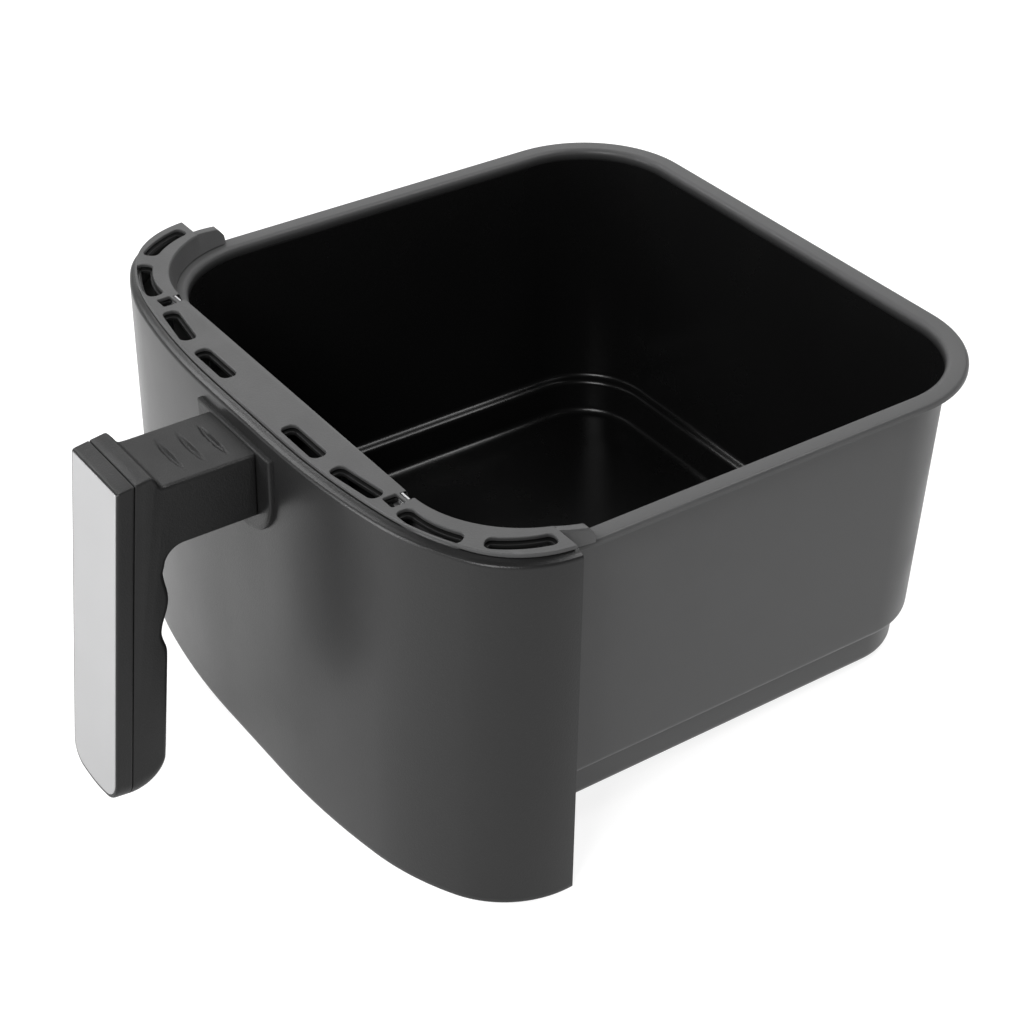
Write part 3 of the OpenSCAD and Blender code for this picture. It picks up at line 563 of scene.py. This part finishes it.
def plate_from(outlines, z_low, z_high, rounding, name, material):
    """A flat plate with holes and rounded edges. The first outline is the outside."""
    data = bpy.data.curves.new(name, "CURVE")
    data.dimensions = "2D"
    data.fill_mode = "BOTH"
    data.extrude = max((z_high - z_low) / 2 - rounding, 0.01) * MM
    data.bevel_depth = rounding * MM
    data.bevel_resolution = 2
    data.offset = -rounding * MM
    for pts in outlines:
        spline = data.splines.new("POLY")
        spline.points.add(len(pts) - 1)
        for p, (x, y) in zip(spline.points, pts):
            p.co = (x * MM, y * MM, 0, 1)
        spline.use_cyclic_u = True
    temp = bpy.data.objects.new(name, data)
    bpy.context.scene.collection.objects.link(temp)
    bpy.context.view_layer.update()
    mesh = bpy.data.meshes.new_from_object(temp.evaluated_get(bpy.context.evaluated_depsgraph_get()))
    bpy.data.objects.remove(temp)
    mesh.transform(Matrix.Translation((0, 0, (z_low + z_high) / 2 * MM)))
    mesh.materials.clear()
    mesh.materials.append(material)
    smooth(mesh, 50)
    mesh.name = name
    return add_piece(name, mesh)


def skirt_piece(name, path):
    """One stretch of the skirt: its section leans in over the rim and rounds over into the plate."""
    section = [(SKIRT_LOW_R, SKIRT_LOW)]
    section += [(SKIRT_TOP_R + out, TRIM_TOP - down) for out, down in SKIRT_ROUND]
    section += [(SKIRT_TOP_R + SKIRT_T, SKIRT_HIGH), (SKIRT_TOP_R + SKIRT_T - 0.3, TRIM_TOP - 1.6),
                (SKIRT_LOW_R + SKIRT_T, SKIRT_LOW)]
    verts, faces = strip([[(x, y, z) for x, y in path(r)] for r, z in section])
    new_object(name, verts, faces, TRIM, 40)


def tongue_heights():
    """(y, top height) along a tongue, from under the plate to its tip."""
    heights = [(-TRIM_END - 1.0, SKIRT_HIGH), (-TRIM_END, SKIRT_HIGH)]
    for i in range(1, 5):
        t = i / 4
        heights.append((-TRIM_END + (TONGUE_TIP + TRIM_END) * t, SKIRT_HIGH - TONGUE_FALL * t))
    tip_top = heights[-1][1]
    return heights + [(TONGUE_TIP + beyond, tip_top - down) for beyond, down in TONGUE_NOSE]


def build_tongue(side, label):
    """The end of the skirt beyond the plate: a short curved block that falls to a bevelled tip."""
    loops = []
    for y, high in tongue_heights():
        share = (high - SKIRT_LOW) / (TRIM_TOP - SKIRT_LOW)
        lean_r = SKIRT_LOW_R + (SKIRT_TOP_R - SKIRT_LOW_R) * share
        section = [(SKIRT_LOW_R, SKIRT_LOW)]
        section += [(lean_r + out, high - down) for out, down in TONGUE_ROUND]
        section += [(TONGUE_R - TONGUE_BEVEL, high), (TONGUE_R, high - TONGUE_BEVEL), (TONGUE_R, SKIRT_LOW)]
        loops.append([(side * (SKIRT_X + math.sqrt(r ** 2 - (y - SKIRT_Y) ** 2)), y, z) for r, z in section])
    if side < 0:
        loops = [loop[::-1] for loop in loops]
    verts, faces = loft(loops)
    new_object(label + "_trim_tongue", verts, faces, TRIM, 30)


def build_trim():
    """The vented plate, the dark layer under it, the skirt in three stretches and the two tongues."""
    plate = plate_from([plate_outline(0)] + all_slots() + windows(), TRIM_UNDER, TRIM_TOP, PLATE_ROUND,
                       "vented_trim_plate", TRIM)
    plate_from([plate_outline(LAYER_IN)] + all_slots(LAYER_SLOT) + windows(LAYER_WINDOW),
               TRIM_UNDER - LAYER_DOWN[0], TRIM_UNDER - LAYER_DOWN[1], LAYER_ROUND,
               "trim_plate_inner_layer", LINER)
    skirt_piece("trim_skirt_front", front_path)
    skirt_piece("trim_skirt_right", corner_path)
    skirt_piece("trim_skirt_left", lambda r: mirrored(corner_path(r)))
    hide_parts("top_trim")
    for side, label in ((-1, "left"), (1, "right")):
        build_tongue(side, label)


build_trim()


# ------------------------------------------------------------------ handle
GRIP_FRONT = RIM_D / 2 + 72.6
GRIP_TOP = PAN_H + 1.6
GRIP_LEAN = math.radians(6.4)
GRIP_HALF = 17.5
GRIP_L = 131.0
GRIP_CORNER = 9.0
BOTTOM_R = 60.0               # the grip's lower edge is a shallow arc
GRIP_DEPTH = 20.1
TOP_SLOPE = 0.28              # the top rises towards the drawer
COVER_T = 6.3
COVER_R = 1.0
COVER_BACK_R = 0.35
INSERT_HALF = 16.4
INSERT_CORNER = 8.1
INSERT_EDGE = ((0.0, 0.9), (0.0, 0.1), (0.08, -0.08), (0.28, -0.18), (0.6, -0.2))    # (inset, depth)
SEAT_HALF = INSERT_HALF + 0.12
SEAT_CORNER = 8.2
SEAM_BACK = COVER_T + 0.25    # the arm and grip start behind a thin seam
ARM_TOP = PAN_H - 1.5
ARM_UNDER = PAN_H - 26.5
ARM_TOP_FRONT = -170.05
ARM_TOP_BACK = -138.05
ARM_UNDER_FRONT = -167.55
ARM_UNDER_BACK = -140.0
ARM_UNDER_END = -138.65
ARM_UNDER_R = 8
ARM_ROUND = 1.8
CREST_MID = 9.5               # places along the top, behind the grip's face
CREST_BACK = 12.2
DIP_R = 3.2                   # hollow between the grip's crest and the thumb rest
DIP_BACK = 5.6
VALLEY = 2.3                  # depth of the finger wave on the grip's back
WAVE_TOP = -34.5
WAVE_L = 25.7
WAVE_TAIL = 9.2
BACK_ROUND = 2.0
BACK_HEIGHTS = (-72, -76, -82, -90, -98, -106, -110)
SEAM_HEIGHTS = (-129.5, -126.0, -118.0, -100.0, -70.0, -40.0, -12.0, -3.0)
HEEL = 17.0                   # height of the round at the grip's foot
FOLLOW_BELOW = -112.0         # below this the grip's back half follows the shallow lower edge
PAD_FRONT = -168.85           # the thumb rest, where the grooves may cut in
PAD_NEAR = -139.5
GROOVES = (-162.05, -153.85, -145.45)
GROOVE_HALF = 12.0            # half of a groove's length, across the handle
GROOVE_HALF_W = 1.2
GROOVE_DEEP = 1.15
GROOVE_BOW = 0.5              # its middle is this much nearer the grip than its ends
GROOVE_POWER = 0.8
ACROSS_STEPS = 26


def grip(y, z):
    """(y, z) in the drawer's frame of a point at a depth behind the grip's face and a height along it."""
    c, s = math.cos(GRIP_LEAN), math.sin(GRIP_LEAN)
    return (-GRIP_FRONT + y * c + z * s, GRIP_TOP - y * s + z * c)


def lower_corner(half, low, corner):
    """Centre of the right lower corner's arc, and the angle at which it meets the shallow lower arc."""
    cx = half - corner
    phi = math.asin(cx / (BOTTOM_R - corner))
    return cx, -low + BOTTOM_R - (BOTTOM_R - corner) * math.cos(phi), phi


def tongue_loop(half, low, corner, top, top_r, y):
    """Closed front-view outline at a depth: round lower corners, a shallow lower edge, small top corners."""
    cx, cy, phi = lower_corner(half, low, corner)
    pd = math.degrees(phi)
    pts = arc(half - top_r, top - top_r, top_r, 90, 0, 4)
    pts += line((half, top - top_r), (half, cy), 12)[1:]
    pts += arc(cx, cy, corner, 0, -90 + pd, 12)
    pts += arc(0, -low + BOTTOM_R, BOTTOM_R, -90 + pd, -90 - pd, 10)[1:-1]
    pts += arc(-cx, cy, corner, -90 - pd, -180, 12)
    pts += line((-half, cy), (-half, top - top_r), 12)[1:]
    pts += arc(-half + top_r, top - top_r, top_r, 180, 90, 4)
    return [(x, *grip(y, z)) for x, z in pts]


def cover_loop(inset, y):
    """The front cover's outline at a depth behind its face."""
    return tongue_loop(GRIP_HALF - inset, GRIP_L - inset, GRIP_CORNER - inset, TOP_SLOPE * y - inset, 0.7, y)


def seat_loop(grow, y):
    """The recess in the cover that holds the silver insert."""
    return tongue_loop(SEAT_HALF + grow, GRIP_L - 1.4 + grow, SEAT_CORNER, -0.35, 0.4, y)


def build_cover():
    """The front half of the grip, from its back round to the recess in its face."""
    side_top = COVER_T - COVER_BACK_R
    loops = [cover_loop(2.5, COVER_T), cover_loop(COVER_BACK_R, COVER_T), cover_loop(0.1, COVER_T - 0.1)]
    loops.append(cover_loop(0.0, side_top))
    for i in range(1, 7):
        loops.append(cover_loop(0.0, side_top + (COVER_R - COVER_T + COVER_BACK_R) * i / 6))
    for i in range(1, 6):
        a = math.radians(90 * i / 5)
        loops.append(cover_loop(COVER_R * (1 - math.cos(a)) * 0.75, COVER_R * (1 - math.sin(a))))
    loops += [seat_loop(0.05, 0.0), seat_loop(0.0, 0.12), seat_loop(0.0, 1.0)]
    verts, faces = loft(loops)
    cover = new_object("grip_front_cover", verts, flipped(faces), HANDLE, 50)
    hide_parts("handle_front_cover")


def build_insert():
    """The silver plate, from its back to its rounded front edge."""
    loops = []
    for inset, y in INSERT_EDGE:
        loops.append(tongue_loop(INSERT_HALF - inset, GRIP_L - 1.5 - inset, INSERT_CORNER - inset,
                                 -0.4 - inset, 0.5, y))
    verts, faces = loft(loops)
    plate = new_object("silver_insert_plate", verts, flipped(faces), SILVER, 50)
    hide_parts("handle_insert_plate")


def lower_limit(x):
    """Lowest height along the grip, at a distance from its middle."""
    cx, cy, phi = lower_corner(GRIP_HALF, GRIP_L, GRIP_CORNER)
    x = min(abs(x), GRIP_HALF)
    if x < BOTTOM_R * math.sin(phi):
        return -GRIP_L + BOTTOM_R - math.sqrt(BOTTOM_R ** 2 - x * x)
    return cy - math.sqrt(max(GRIP_CORNER ** 2 - (x - cx) ** 2, 0.0))


def crest(y):
    """A point on the sloping top, at a depth behind the grip's face."""
    return grip(y, TOP_SLOPE * y)


def wave(turn, z):
    """A point on the grip's back. The finger wave is deepest at a turn of 0 and gone at 180 degrees."""
    return grip(GRIP_DEPTH - VALLEY * (1 + math.cos(math.radians(turn))) / 2, z)


def body_profile():
    """Side view of arm and back half of the grip, clockwise from the seam's top: (y, z, rounding)."""
    pts = []

    def add(points, r):
        pts.extend((y, z, r) for y, z in points)

    seam_top = TOP_SLOPE * SEAM_BACK
    add([grip(SEAM_BACK, seam_top - 0.45), grip(SEAM_BACK + 0.1, seam_top - 0.12)], 0.7)
    add([crest(SEAM_BACK + 0.4)], 0.7)
    add([crest(CREST_MID)], 0.8)
    lip_y, lip_z = crest(CREST_BACK)
    add([(lip_y, lip_z), (lip_y + 0.5, lip_z - 0.15), (lip_y + 0.9, lip_z - 0.55)], 0.9)
    add([(lip_y + 2.3, lip_z - 2.4)], 1.1)
    add(arc(lip_y + DIP_BACK, ARM_TOP + DIP_R, DIP_R, 215, 270, 5), 1.6)
    add(line((ARM_TOP_FRONT, ARM_TOP), (PAD_NEAR, ARM_TOP), 64), ARM_ROUND)
    add([(PAD_NEAR, ARM_TOP), (ARM_TOP_BACK, ARM_TOP), (ARM_UNDER_END, ARM_UNDER)], ARM_ROUND)
    add(line((ARM_UNDER_BACK, ARM_UNDER), (ARM_UNDER_FRONT, ARM_UNDER), 8), ARM_ROUND)
    add(arc(ARM_UNDER_FRONT, ARM_UNDER - ARM_UNDER_R, ARM_UNDER_R, 90, 172, 10), ARM_ROUND)
    for i in range(1, 25):
        add([wave(360 * i / 24, WAVE_TOP - WAVE_L * i / 24)], BACK_ROUND)
    for i in range(1, 9):
        add([wave(180 * i / 8, WAVE_TOP - WAVE_L - WAVE_TAIL * i / 8)], BACK_ROUND)
    add([grip(GRIP_DEPTH + 0.05, z) for z in BACK_HEIGHTS], BACK_ROUND)
    for i in range(1, 17):
        a = math.radians(90 * i / 16)
        r = BACK_ROUND if i < 12 else max(BACK_ROUND - 0.3 * (i - 11), 0.5)
        y = SEAM_BACK + (GRIP_DEPTH - SEAM_BACK) * math.cos(a)
        add([grip(y, -GRIP_L + HEEL - HEEL * math.sin(a))], r)
    add([grip(SEAM_BACK, z) for z in SEAM_HEIGHTS], 0.45)
    return pts


def mitre(points):
    """Outward normal at each point of a closed clockwise outline, scaled so that offsets stay parallel."""
    n = len(points)
    out = []
    for i in range(n):
        p, q, s = points[i - 1], points[i], points[(i + 1) % n]
        e1 = Vector((q[0] - p[0], q[1] - p[1])).normalized()
        e2 = Vector((s[0] - q[0], s[1] - q[1])).normalized()
        n1, n2 = Vector((-e1.y, e1.x)), Vector((-e2.y, e2.x))
        m = n1 + n2
        if m.length < 1e-6:
            m = n1
        m.normalize()
        out.append(m / max(m.dot(n1), 0.5))
    return out


def groove_depth(x, y):
    """Depth of the crescent grooves on the thumb rest."""
    depth = 0.0
    lens = 1 - (x / GROOVE_HALF) ** 2
    half_w = GROOVE_HALF_W * lens
    if half_w > 0.01:
        for groove_y in GROOVES:
            t = (y - (groove_y - GROOVE_BOW * lens)) / half_w
            if -1 < t < 1:
                depth = max(depth, GROOVE_DEEP * lens * (1 - t * t) ** GROOVE_POWER)
    return depth


def x_levels():
    """Stations across the handle, as (share of the half-width, angle round the side's rounding).

    The angle is None between the two roundings.
    """
    right = [(1.0, a) for a in (90, 72, 54, 36, 18, 0)]
    between = [(k / ACROSS_STEPS, None) for k in range(ACROSS_STEPS - 1, -ACROSS_STEPS, -1)]
    left = [(-1.0, a) for a in (0, 18, 36, 54, 72, 90)]
    return right + between + left


def build_body():
    """The arm and the back half of the grip: the side view carried across, with rounded sides."""
    profile = body_profile()
    normals = mitre([(y, z) for y, z, _ in profile])
    c, s = math.cos(GRIP_LEAN), math.sin(GRIP_LEAN)

    def place(k, x, inset):
        y, z, _ = profile[k]
        y -= normals[k].x * inset
        z -= normals[k].y * inset
        if z > ARM_TOP - 0.3 - inset and PAD_FRONT < y < PAD_NEAR:
            z -= groove_depth(x, y)
        dy, dz = y + GRIP_FRONT, z - GRIP_TOP
        gy, gz = dy * c - dz * s, dy * s + dz * c
        if gz < FOLLOW_BELOW:
            share = (lower_limit(x) - FOLLOW_BELOW) / (-GRIP_L - FOLLOW_BELOW)
            y, z = grip(gy, FOLLOW_BELOW + (gz - FOLLOW_BELOW) * share)
        return (x, y, z)

    loops = []
    for across, a in x_levels():
        loop = []
        for k, (_, _, r) in enumerate(profile):
            if a is None:
                loop.append(place(k, across * (GRIP_HALF - r), 0.0))
            else:
                t = math.radians(a)
                x = GRIP_HALF - r + r * math.sin(t)
                loop.append(place(k, math.copysign(x, across), r * (1 - math.cos(t))))
        loops.append(loop)
    verts, faces = loft(loops)
    body = new_object("handle_arm_and_grip_back", verts, faces, HANDLE, 55)
    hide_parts("handle_body")


FLANGE_HALF = 25.5
FLANGE_R = 19.0
FLANGE_TOP = PAN_H - 0.5
FLANGE_TURN = PAN_H - 17.0
FLANGE_T = 2.0
FLANGE_EDGE = ((0.0, 2.5), (0.0, 0.9), (0.09, 0.45), (0.3, 0.14), (0.7, 0.0), (2.0, 0.0))    # (inset, down)


def build_flange():
    """Plate between the arm and the panel, with a rounded front edge."""
    loops = []
    for inset, down in FLANGE_EDGE:
        half, r, top = FLANGE_HALF - inset, FLANGE_R - inset, FLANGE_TOP - inset * 0.6
        pts = [(half, top)] + line((half, top - 0.5), (half, FLANGE_TURN), 6)
        pts += arc(half - r, FLANGE_TURN, r, 0, -90, 20)
        pts += line((half - r, FLANGE_TURN - r), (r - half, FLANGE_TURN - r), 5)[1:]
        pts += arc(r - half, FLANGE_TURN, r, -90, -180, 20)
        pts += line((-half, FLANGE_TURN), (-half, top), 6)[1:] + [(-half, top)]
        out = FLANGE_T - down
        loops.append([(x, -PANEL_FRONT - LEAN * (PANEL_TOP - z) - out, z) for x, z in pts])
    verts, faces = loft(loops)
    flange = new_object("root_flange_plate", verts, flipped(faces), HANDLE, 45)
    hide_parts("root_flange")


build_cover()
build_insert()
build_body()
build_flange()

# ------------------------------------------------------------------ finishes of the CAD nodes
for name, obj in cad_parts.items():
    obj.data.materials.clear()
    obj.data.materials.append(CAD_FINISH.get(name, ZINC))

# ------------------------------------------------------------------ floor, light and camera, in metres
FLOOR_HALF = 6.0
BACKDROP_H = 2.0
BASE_BACK = 0.096             # the back of the pan's base, where the tilted drawer rests
FLOOR_GAP = 0.0002
FLOOR_GREY = 0.3
FLOOR_GLOW = 0.85
ROOM_GLOW = 0.05
EYE = Vector((592.3, -427.45, 541.6)) * MM
AIM = Vector((96.5, -86.95, 126.2)) * MM
LENS = 78.78

scene = bpy.context.scene
scene.view_settings.view_transform = "Standard"


def build_floor():
    """White ground just under the panel's lower edge and the back of the base, with four white walls."""
    front_y, front_z = -PANEL_END * MM, PANEL_BOTTOM * MM
    slope = -front_z / (BASE_BACK - front_y)
    corners = [(sx * FLOOR_HALF, sy * FLOOR_HALF) for sx, sy in ((-1, -1), (1, -1), (1, 1), (-1, 1))]
    ground = [(x, y, front_z + slope * (y - front_y) - FLOOR_GAP) for x, y in corners]
    backdrop = [(x, y, z + BACKDROP_H) for x, y, z in ground]
    walls = [(0, 4, 5, 1), (1, 5, 6, 2), (2, 6, 7, 3), (3, 7, 4, 0)]
    mesh = bpy.data.meshes.new("table")
    mesh.from_pydata(ground + backdrop, [], [(0, 1, 2, 3)] + walls)
    white = bpy.data.materials.new("white table")
    white.use_nodes = True
    shader = white.node_tree.nodes["Principled BSDF"]
    shader.inputs["Base Color"].default_value = (FLOOR_GREY, FLOOR_GREY, FLOOR_GREY, 1)
    shader.inputs["Roughness"].default_value = 0.9
    shader.inputs["Specular IOR Level"].default_value = 0.1
    shader.inputs["Emission Color"].default_value = (1, 1, 1, 1)
    shader.inputs["Emission Strength"].default_value = FLOOR_GLOW
    mesh.materials.append(white)
    table = bpy.data.objects.new("table", mesh)
    scene.collection.objects.link(table)


def light_room():
    """A faint white glow from all sides."""
    world = bpy.data.worlds.new("studio")
    scene.world = world
    world.use_nodes = True
    background = world.node_tree.nodes["Background"]
    background.inputs["Color"].default_value = (1, 1, 1, 1)
    background.inputs["Strength"].default_value = ROOM_GLOW


def point_at(obj, place, aim):
    """Moves a lamp or camera to a place and turns it towards another."""
    place = Vector(place)
    obj.location = place
    obj.rotation_euler = (Vector(aim) - place).to_track_quat("-Z", "Y").to_euler()


def softbox(name, place, aim, size, power):
    """A rectangular lamp turned towards a point. power is in watts."""
    data = bpy.data.lights.new(name, "AREA")
    data.shape = "RECTANGLE"
    data.size, data.size_y = size
    data.energy = power
    lamp = bpy.data.objects.new(name, data)
    scene.collection.objects.link(lamp)
    point_at(lamp, place, aim)


def place_camera():
    """The photograph's view."""
    data = bpy.data.cameras.new("camera")
    data.sensor_width = 36.0
    data.lens = LENS
    camera = bpy.data.objects.new("camera", data)
    scene.collection.objects.link(camera)
    point_at(camera, EYE, AIM)
    scene.camera = camera


build_floor()
light_room()
softbox("key softbox", (0.62, -1.08, 1.1), (0.0, 0.0, 0.05), (0.6, 0.6), 18)
softbox("strip softbox", (-0.44, -1.22, 0.35), (0.0, -0.1, 0.05), (0.3, 1.2), 14)
softbox("overhead softbox", (0.2, 0.62, 1.13), (0.0, 0.0, 0.1), (0.5, 0.5), 8)
softbox("left softbox", (-0.95, -0.36, 0.97), (0.0, 0.0, 0.1), (0.5, 0.5), 6)
softbox("back softbox", (-0.95, 0.65, 1.2), (0.0, 0.0, 0.05), (1.4, 1.4), 12)
place_camera()
